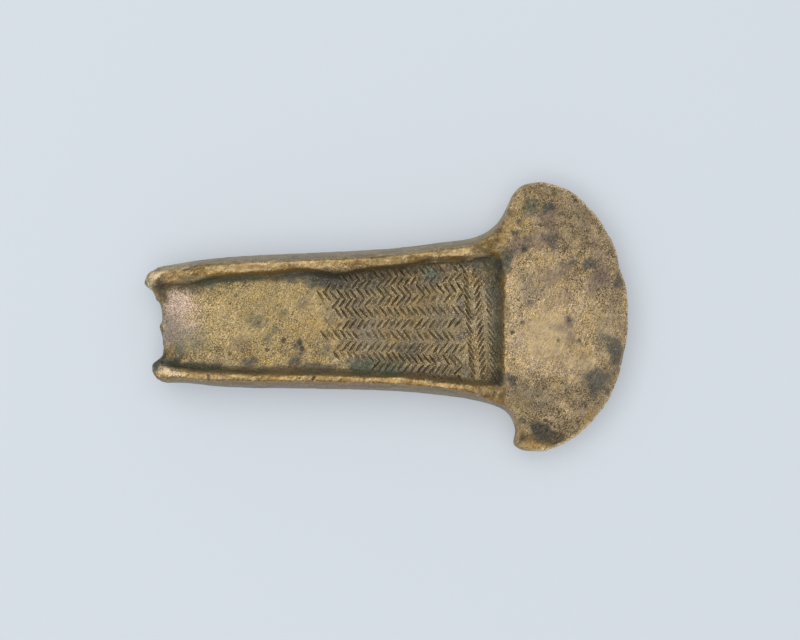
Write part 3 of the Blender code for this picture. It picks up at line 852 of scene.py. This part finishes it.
def ground_paint(points, zones, shaded_side):
    """The bronze's colour at each point, with painted shade on a crest's side that faces -Y and the
    walls painted paler against their shade. The third argument is how near each point is to that shaded
    side of a crest.
    """
    colour = toward(FLOOR_BRONZE, BLADE_BRONZE, zones.blade)
    warm = np.clip(0.5 + 0.5 * cloud(points, 6.0, 30), 0, 1)[:, None]
    colour = colour * (1 + 0.24 * (warm - 0.5) * [1.0, 0.75, -0.3])
    colour = colour * (1 + 0.10 * zones.blade * cloud(points, 3.4, 160))[:, None]

    hue = cloud(points, 3.0, 164)
    field = toward(FIELD_BRONZE, FIELD_WARM, ramp(hue, 0.05, 0.6))
    field = toward(field, FIELD_COOL, ramp(-hue, 0.05, 0.6))
    field = toward(field, FIELD_GREEN, 0.6 * ramp(cloud(points, 2.2, 168), 0.2, 0.7))
    worked = zones.slot * ramp(points[:, 0] + 1.8 * cloud(points, 3.0, 34), *FIELD_X) * zones.top
    colour = toward(colour, field, worked)

    # the walls painted paler than their bronze, to stand in for light against the shade that falls on
    # them
    colour = toward(colour, WALL_BRONZE_PAINTED_LIT, zones.wall * 0.9)
    lift = np.abs(points[:, 2] - MIDDLE_Z)
    upper = 0.4 + 0.6 * (points[:, 1] > 0)
    high = ramp(lift + 0.6 * cloud(points, 2.0, 38), 5.6, 7.6)
    colour = toward(colour, WALL_TOP_PAINTED_LIT, upper * zones.wall * high * 0.9)

    # painted shade: a crest turns darker ochre toward its side that faces -Y
    shaded_side = ramp(shaded_side + 0.14 * cloud(points * [0.4, 1, 1], 1.6, 172), 0.04, 0.24)
    colour = toward(colour, toward(CREST_BRONZE, CREST_PAINTED_SHADE, shaded_side), zones.crest * 0.92)
    tone = cloud(points * [0.35, 1, 1.6], 1.5, 42) + 0.3 * cloud(points, 1.0, 46)
    tone = ramp(tone, -0.6, 0.6)[:, None]
    return colour * (1 + zones.side[:, None] * (0.5 * tone - 0.25))


# How dense the fine dark stipple is: pixel, half sizes in pixels, turn and amount
STIPPLE = [
    ((565, 218), (46, 34), -20, 0.36),
    ((588, 262), (26, 22), 0, 0.35),
    ((560, 408), (44, 26), -25, 0.50),
    ((608, 320), (14, 60), 0, 0.25),
    ((525, 275), (16, 26), 0, 0.25),
    ((548, 340), (26, 30), 15, -0.40),
    ((583, 362), (14, 10), 0, -0.35),
    ((345, 277), (40, 10), 0, 0.50),
    ((420, 275), (70, 12), 0, 0.35),
    ((490, 320), (16, 60), 0, 0.35),
    ((440, 366), (60, 12), 0, 0.40),
    ((215, 310), (40, 26), 0, 0.05),
    ((290, 325), (30, 24), 0, 0.05),
    ((205, 352), (40, 12), 0, 0.25),
    ((280, 352), (40, 14), 0, 0.25),
    ((208, 286), (40, 8), 0, 0.30),
]


def stipple_paint(points, zones):
    """How dense the dark stipple is at each point."""
    dense = 0.20 + 0.22 * zones.blade - 0.3 * zones.side - 0.1 * zones.crest - 0.16 * (1 - zones.top)
    dense += 0.2 * zones.slot * ramp(points[:, 0], *FIELD_X) + 0.14 * cloud(points, 5.0, 110)
    plan = as_seen(points)
    for pixel, half, turn, change in STIPPLE:
        reach = reach_of(plan, pixel, half, turn)
        dense += change * (1 - ramp(reach, *SOFT_RIM)) * zones.top
    return np.clip(dense, 0, 1)


def cavity_paint(points, zones, hollow):
    """How dark each point's hollow is painted, partly grime and partly painted shade. It is painted
    weaker on part of the lower wall and on the top of the upper wall.
    """
    lower_wall = zones.wall * (points[:, 1] < 0) * ramp(points[:, 0], -44, -38)
    upper_wall = zones.wall * (points[:, 1] > 0) * ramp(points[:, 2] - MIDDLE_Z, 4.6, 6.6)
    return ramp(hollow, 0.012, 0.10) * (1 - 0.6 * lower_wall) * (1 - upper_wall)


def wear_and_highlight_paint(points, zones, hollow, wide):
    """How pale each point is painted from the fine and the wide hollows round it: wear on ridges and
    edges, and painted highlights along the ridges and the rims beside the strokes.
    """
    x, y = points[:, 0], points[:, 1]
    wear_and_highlight = ramp(-wide, 0.06, 0.30) * (1 - zones.side) + 0.7 * ramp(-hollow, 0.015, 0.05)
    patchy = np.clip(0.6 + 0.6 * cloud(points, 2.6, 120), 0, 1)
    at_stop = zones.top * ramp(x, 26, 29) * (1 - ramp(x, *LEDGE_END_X))
    wear_and_highlight *= 1 - at_stop * (0.35 + 0.65 * ramp(y + cloud(points, 3, 124), 1, 5))
    wear_and_highlight *= 1 - 0.75 * ramp(x, *HORN_X) * (1 - 0.5 * patchy)
    wear_and_highlight *= (1 - 0.8 * zones.butt * (1 - zones.crest)) * (1 - 0.55 * zones.crest)
    return np.clip(wear_and_highlight * (0.5 + 0.5 * patchy), 0, 1)


def paint(mesh, name, values):
    """Keep values on the mesh's points for the material: numbers, or colours with an amount."""
    if values.ndim == 1:
        mesh.attributes.new(name, "FLOAT", "POINT").data.foreach_set("value", values)
    else:
        mesh.attributes.new(name, "FLOAT_COLOR", "POINT").data.foreach_set("color", values.ravel())


def paint_skin(surface, hollow, punch):
    """Work out every paint at the thinned skin's points."""
    wide = surface.hollow(WIDE_BLURS)
    points, mesh = surface.points, surface.mesh
    zones = Zones(points, surface.normals())
    # how near each crest point is to its side that faces -Y, where shade is painted
    shaded_side = surface.blurred(np.where(points[:, 1] > 0, zones.wall, zones.side), 8)
    paint(mesh, "ground", np.column_stack([ground_paint(points, zones, shaded_side), np.ones(len(points))]))
    paint(mesh, "stain", np.column_stack(stain_paint(points, zones)))
    paint(mesh, "punch", punch)
    paint(mesh, "crest", np.clip(zones.crest, 0, 1))
    paint(mesh, "stipple", stipple_paint(points, zones))
    # hollows painted dark: grime, and painted shade
    paint(mesh, "cavity", cavity_paint(points, zones, hollow))
    # pale ridges: wear, and painted highlights
    paint(mesh, "wear_and_highlight", wear_and_highlight_paint(points, zones, hollow, wide))


# ---- the bronze

# Colours that the material adds
# a crest's bright runs: wear, and painted highlight
CREST_WEAR_AND_HIGHLIGHT = srgb(216, 192, 148)
DULL_CREST = srgb(124, 94, 38)
SPECK = srgb(76, 64, 44)
# grime and painted shade in hollows and in the strokes' keels
GRIME_AND_SHADE = srgb(62, 52, 38)
# pale colour of wear, and of painted highlights on ridges
PALE_WEAR_AND_HIGHLIGHT = srgb(198, 172, 124)
# painted highlight on the grain
GLINT = srgb(206, 184, 144)
SCRATCH = srgb(214, 194, 158)

# Cool and warm tints that the bronze is multiplied by
COOL, WARM = (0.93, 0.92, 1.04), (1.07, 1.02, 0.86)


class Tree:
    """Short ways to add and join a material's nodes. Sizes are in millimetres."""

    def __init__(self, name):
        self.material = bpy.data.materials.new(name)
        self.material.use_nodes = True
        self.tree = self.material.node_tree
        self.shader = self.tree.nodes["Principled BSDF"]
        self.place = self.add("ShaderNodeTexCoord").outputs["Object"]

    def add(self, kind, inputs=(), **settings):
        node = self.tree.nodes.new(kind)
        for key, value in settings.items():
            setattr(node, key, value)
        for key, value in dict(inputs).items():
            self.feed(node.inputs[key], value)
        return node

    def feed(self, socket, value):
        """Join a socket to another, or set its number or colour."""
        if isinstance(value, bpy.types.NodeSocket):
            self.tree.links.new(value, socket)
        elif socket.type == "RGBA":
            socket.default_value = (*value, 1)
        else:
            socket.default_value = value

    def painted(self, name, output="Fac"):
        return self.add("ShaderNodeAttribute", attribute_name=name).outputs[output]

    def noise(self, size, detail=3.0, rough=0.55, stretch=(1, 1, 1), turn=0.0):
        """Noise from 0 to 1 with features of a size, stretched along a turned axis."""
        place = self.add("ShaderNodeMapping", {
            "Vector": self.place, "Scale": stretch, "Rotation": (0, 0, math.radians(turn)),
            "Location": (0.013 * size, 0.027, 0.041),
        }, vector_type="TEXTURE").outputs[0]
        return self.add("ShaderNodeTexNoise", {
            "Vector": place, "Scale": 1 / (size * MM), "Detail": detail, "Roughness": rough,
        }).outputs["Fac"]

    def dots(self, spacing, radius, share):
        """1 on round dots of many sizes. The share is how many of the places have one."""
        cells = self.add("ShaderNodeTexVoronoi", {"Vector": self.place, "Scale": 1 / (spacing * MM)})
        luck = self.add("ShaderNodeSeparateColor", {0: cells.outputs["Color"]}).outputs[0]
        reach = self.span(luck, 1 - share, 1.0, 0.0, radius / spacing)
        return self.span(self.minus(reach, cells.outputs["Distance"]), 0.0, 0.08)

    def maths(self, kind, *values):
        return self.add("ShaderNodeMath", dict(enumerate(values)), operation=kind).outputs[0]

    def plus(self, first, second):
        return self.maths("ADD", first, second)

    def minus(self, first, second):
        return self.maths("SUBTRACT", first, second)

    def times(self, first, second):
        return self.maths("MULTIPLY", first, second)

    def span(self, value, low, high, to_low=0.0, to_high=1.0):
        """A smooth step between two values."""
        return self.add("ShaderNodeMapRange", {
            "Value": value, "From Min": low, "From Max": high, "To Min": to_low, "To Max": to_high,
        }, interpolation_type="SMOOTHSTEP").outputs[0]

    def mix(self, share, first, second, blend="MIX"):
        return self.add(
            "ShaderNodeMix", {0: share, 6: first, 7: second}, data_type="RGBA", blend_type=blend
        ).outputs[2]

    def shaded(self, colour, value):
        """A colour multiplied by a value."""
        grey = self.add("ShaderNodeCombineColor", {0: value, 1: value, 2: value}).outputs[0]
        return self.mix(1.0, colour, grey, "MULTIPLY")


def bronze_material():
    tree = Tree("bronze_skin")
    stipple, crest = tree.painted("stipple"), tree.painted("crest")
    patina = tree.painted("stain", "Alpha")

    coarse = tree.noise(2.4, 4.0)
    medium = tree.noise(0.95, 3.0, 0.6)
    fine = tree.noise(0.27, 1.0, 0.7)
    clump = tree.noise(2.8, 3.0, 0.65)

    # crests with bright runs along them, partly wear and partly painted highlight, and dull runs
    flow = tree.noise(1.3, 4.0, 0.62, stretch=(2.6, 1, 1), turn=3)
    crest_wear_and_highlight = tree.times(crest, tree.span(flow, 0.50, 0.66, 0.0, 0.36))
    colour = tree.mix(crest_wear_and_highlight, tree.painted("ground", "Color"), CREST_WEAR_AND_HIGHLIGHT)
    dulled = tree.times(crest, tree.span(flow, 0.34, 0.48, 0.75, 0.0))
    colour = tree.mix(dulled, colour, DULL_CREST)

    # uneven hue and tone
    hue = tree.mix(tree.span(tree.noise(1.5, 3.0, 0.6), 0.36, 0.64), COOL, WARM)
    colour = tree.mix(0.8, colour, hue, "MULTIPLY")
    tone = tree.span(coarse, 0.3, 0.7, 0.88, 1.12)
    colour = tree.shaded(colour, tree.times(tone, tree.span(medium, 0.28, 0.72, 0.86, 1.14)))

    # fine corrosion: grains, short curls and sparse dots
    line = tree.maths("ABSOLUTE", tree.minus(tree.noise(0.62, 1.0, 0.5), 0.5))
    line = tree.span(line, 0.0, 0.045, 0.12, 0.0)
    speck = tree.plus(tree.noise(0.36, 2.0, 0.7), tree.times(stipple, 0.17))
    speck = tree.plus(speck, tree.times(line, tree.span(stipple, 0.1, 0.7)))
    speck = tree.times(tree.span(speck, 0.60, 0.70), tree.span(stipple, 0.0, 0.6, 0.45, 0.85))
    speck = tree.times(speck, tree.span(clump, 0.38, 0.60, 0.2, 1.1))
    dots = tree.times(tree.dots(1.0, 0.26, 0.5), tree.span(clump, 0.35, 0.6, 0.5, 1.0))
    speck = tree.maths("MAXIMUM", speck, dots)
    colour = tree.mix(speck, colour, SPECK)

    # patina, broken up toward its rims
    broken = tree.plus(patina, tree.span(medium, 0.2, 0.8, -0.32, 0.32))
    broken = tree.plus(broken, tree.span(fine, 0.2, 0.8, -0.5, 0.5))
    broken = tree.span(broken, 0.32, 0.62)
    amount = tree.plus(tree.times(patina, 0.3), tree.times(broken, 0.66))
    amount = tree.times(amount, tree.span(patina, 0.02, 0.16))
    colour = tree.mix(amount, colour, tree.painted("stain", "Color"))

    # grime and painted shade in hollows and strokes, and ridges made pale by wear and by painted
    # highlights
    grime_and_shade = tree.times(tree.painted("cavity"), tree.span(medium, 0.2, 0.7, 0.4, 1.0))
    grime_and_shade = tree.maths("MAXIMUM", grime_and_shade, tree.painted("punch"))
    grime_and_shade = tree.times(grime_and_shade, tree.span(coarse, 0.25, 0.6, 0.5, 1.0))
    colour = tree.mix(tree.times(grime_and_shade, 0.8), colour, GRIME_AND_SHADE)
    # ridges made pale: wear, and painted highlight
    wear_highlight_amount = tree.times(tree.painted("wear_and_highlight"), tree.span(medium, 0.3, 0.65, 0.1, 1.0))
    colour = tree.mix(tree.times(wear_highlight_amount, 0.6), colour, PALE_WEAR_AND_HIGHLIGHT)

    # painted highlights as glints on the bare grain, and scratches where it is smooth
    glint = tree.span(tree.noise(0.42, 2.0, 0.7), 0.56, 0.70)
    glint = tree.times(glint, tree.span(grime_and_shade, 0.1, 0.5, 1.0, 0.0))
    glint = tree.times(glint, tree.span(stipple, 0.0, 0.7, 0.0, 0.75))
    glint = tree.times(glint, tree.span(amount, 0.2, 0.8, 1.0, 0.45))
    colour = tree.mix(glint, colour, GLINT)
    scratch = tree.span(tree.noise(0.55, 3.0, 0.6, stretch=(5, 1, 1), turn=52), 0.54, 0.64)
    scratch = tree.times(scratch, tree.span(stipple, 0.04, 0.30, 0.5, 0.0))
    scratch = tree.times(scratch, tree.span(clump, 0.40, 0.60))
    colour = tree.mix(scratch, colour, SCRATCH)

    # grit, weaker on the plain sides
    grit = tree.span(stipple, 0.0, 0.25, 0.35, 1.0)
    streaks = tree.noise(0.32, 2.0, 0.6, stretch=(6, 1, 1), turn=63)
    tone = tree.span(fine, 0.28, 0.72, 0.52, 1.48)
    tone = tree.times(tone, tree.span(streaks, 0.3, 0.7, 0.78, 1.22))
    tone = tree.maths("MULTIPLY_ADD", tree.minus(tone, 1.0), grit, 1.0)
    tree.feed(tree.shader.inputs["Base Color"], tree.shaded(colour, tone))

    rough = tree.plus(tree.span(medium, 0.2, 0.8, 0.36, 0.52), tree.times(amount, 0.14))
    tree.feed(tree.shader.inputs["Roughness"], tree.minus(rough, tree.times(wear_highlight_amount, 0.12)))
    metal = tree.minus(0.72, tree.times(amount, 0.45))
    tree.feed(tree.shader.inputs["Metallic"], tree.minus(metal, tree.times(grime_and_shade, 0.3)))

    height = tree.plus(tree.times(fine, 0.7), tree.times(medium, 0.7))
    height = tree.plus(height, tree.times(streaks, 0.35))
    height = tree.times(tree.minus(height, tree.times(speck, 0.4)), grit)
    bump = tree.add("ShaderNodeBump", {"Strength": 0.9, "Distance": 0.12 * MM, "Height": height})
    tree.feed(tree.shader.inputs["Normal"], bump.outputs["Normal"])
    return tree.material


# ---- the piece

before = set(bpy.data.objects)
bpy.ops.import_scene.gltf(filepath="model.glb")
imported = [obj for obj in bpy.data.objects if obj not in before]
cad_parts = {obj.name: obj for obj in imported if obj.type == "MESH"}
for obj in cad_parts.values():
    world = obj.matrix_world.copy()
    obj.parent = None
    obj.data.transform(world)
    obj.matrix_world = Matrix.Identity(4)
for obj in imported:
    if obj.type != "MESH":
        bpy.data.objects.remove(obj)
cad_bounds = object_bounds()

skin = packed_copy(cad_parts["axe_head"].data, "axe_skin")
apply_modifier(skin, "REMESH", mode="VOXEL", voxel_size=VOXEL * MM, use_smooth_shade=True)
soften(skin)
dense = Surface(skin.data)
punch = carve(dense, *all_strokes(), cad_bounds)
hollow = dense.hollow(FINE_BLURS)
finder = KDTree(len(dense.points))
for i, point in enumerate(dense.points):
    finder.insert(point, i)
finder.balance()

share = TRIANGLES / sum(len(polygon.vertices) - 2 for polygon in skin.data.polygons)
apply_modifier(skin, "DECIMATE", ratio=min(1.0, share))
thin = Surface(skin.data)
nearest = np.array([finder.find(point)[1] for point in thin.points])
paint_skin(thin, hollow[nearest], punch[nearest])
skin.data.polygons.foreach_set("use_smooth", [True] * len(skin.data.polygons))
skin.data.materials.clear()
skin.data.materials.append(bronze_material())

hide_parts("axe_head")
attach(skin, "root")


# ---- table, light and camera

# The table: half its width in metres, its paper, and a weak glow that keeps the axe's shadow light
PAPER, PAPER_GLOW, GLOW_STRENGTH = (0.50, 0.54, 0.58, 1), (0.93, 1.0, 1.09, 1), 0.2
TABLE_HALF = 3

# The room's even light, and the lamp over the axe: where it is and its width in metres, its power
ROOM_LIGHT, ROOM_STRENGTH = (0.96, 0.98, 1.0, 1), 0.45
LAMP_PLACE, LAMP_WIDTH, LAMP_POWER, LAMP_COLOUR = (-0.16, 0.06, 1.05), 1.2, 8.6, (1, 0.995, 0.985)

SENSOR = 36.0


def add_object(name, data, location=(0, 0, 0)):
    obj = bpy.data.objects.new(name, data)
    obj.location = location
    bpy.context.scene.collection.objects.link(obj)
    return obj


floor_mesh = bpy.data.meshes.new("table")
corners = [(x * TABLE_HALF, y * TABLE_HALF, 0) for x, y in ((-1, -1), (1, -1), (1, 1), (-1, 1))]
floor_mesh.from_pydata(corners, [], [(0, 1, 2, 3)])
table = add_object("table", floor_mesh)
paper = bpy.data.materials.new("table_paper")
paper.use_nodes = True
paper_shader = paper.node_tree.nodes["Principled BSDF"]
paper_shader.inputs["Base Color"].default_value = PAPER
paper_shader.inputs["Emission Color"].default_value = PAPER_GLOW
paper_shader.inputs["Emission Strength"].default_value = GLOW_STRENGTH
paper_shader.inputs["Roughness"].default_value = 0.9
floor_mesh.materials.append(paper)

world = bpy.data.worlds.new("studio")
world.use_nodes = True
world.node_tree.nodes["Background"].inputs["Color"].default_value = ROOM_LIGHT
world.node_tree.nodes["Background"].inputs["Strength"].default_value = ROOM_STRENGTH
bpy.context.scene.world = world

lamp = bpy.data.lights.new("overhead", "AREA")
lamp.shape = "RECTANGLE"
lamp.size = lamp.size_y = LAMP_WIDTH
lamp.energy = LAMP_POWER
lamp.color = LAMP_COLOUR
overhead = add_object("overhead", lamp, LAMP_PLACE)
overhead.rotation_euler = (-overhead.location).to_track_quat("-Z", "Y").to_euler()

camera_data = bpy.data.cameras.new("camera")
camera_data.sensor_width = SENSOR
view_width = PIXEL * FRAME_PX[0] * MM
camera_data.lens = SENSOR * CAMERA_HEIGHT * MM / view_width
centre_x, centre_y = at_pixel(FRAME_PX[0] / 2, FRAME_PX[1] / 2)
camera_place = (centre_x * MM, centre_y * MM, (CAMERA_HEIGHT + MIDDLE_Z) * MM)
bpy.context.scene.camera = add_object("camera", camera_data, camera_place)
bpy.context.scene.view_settings.view_transform = "Standard"
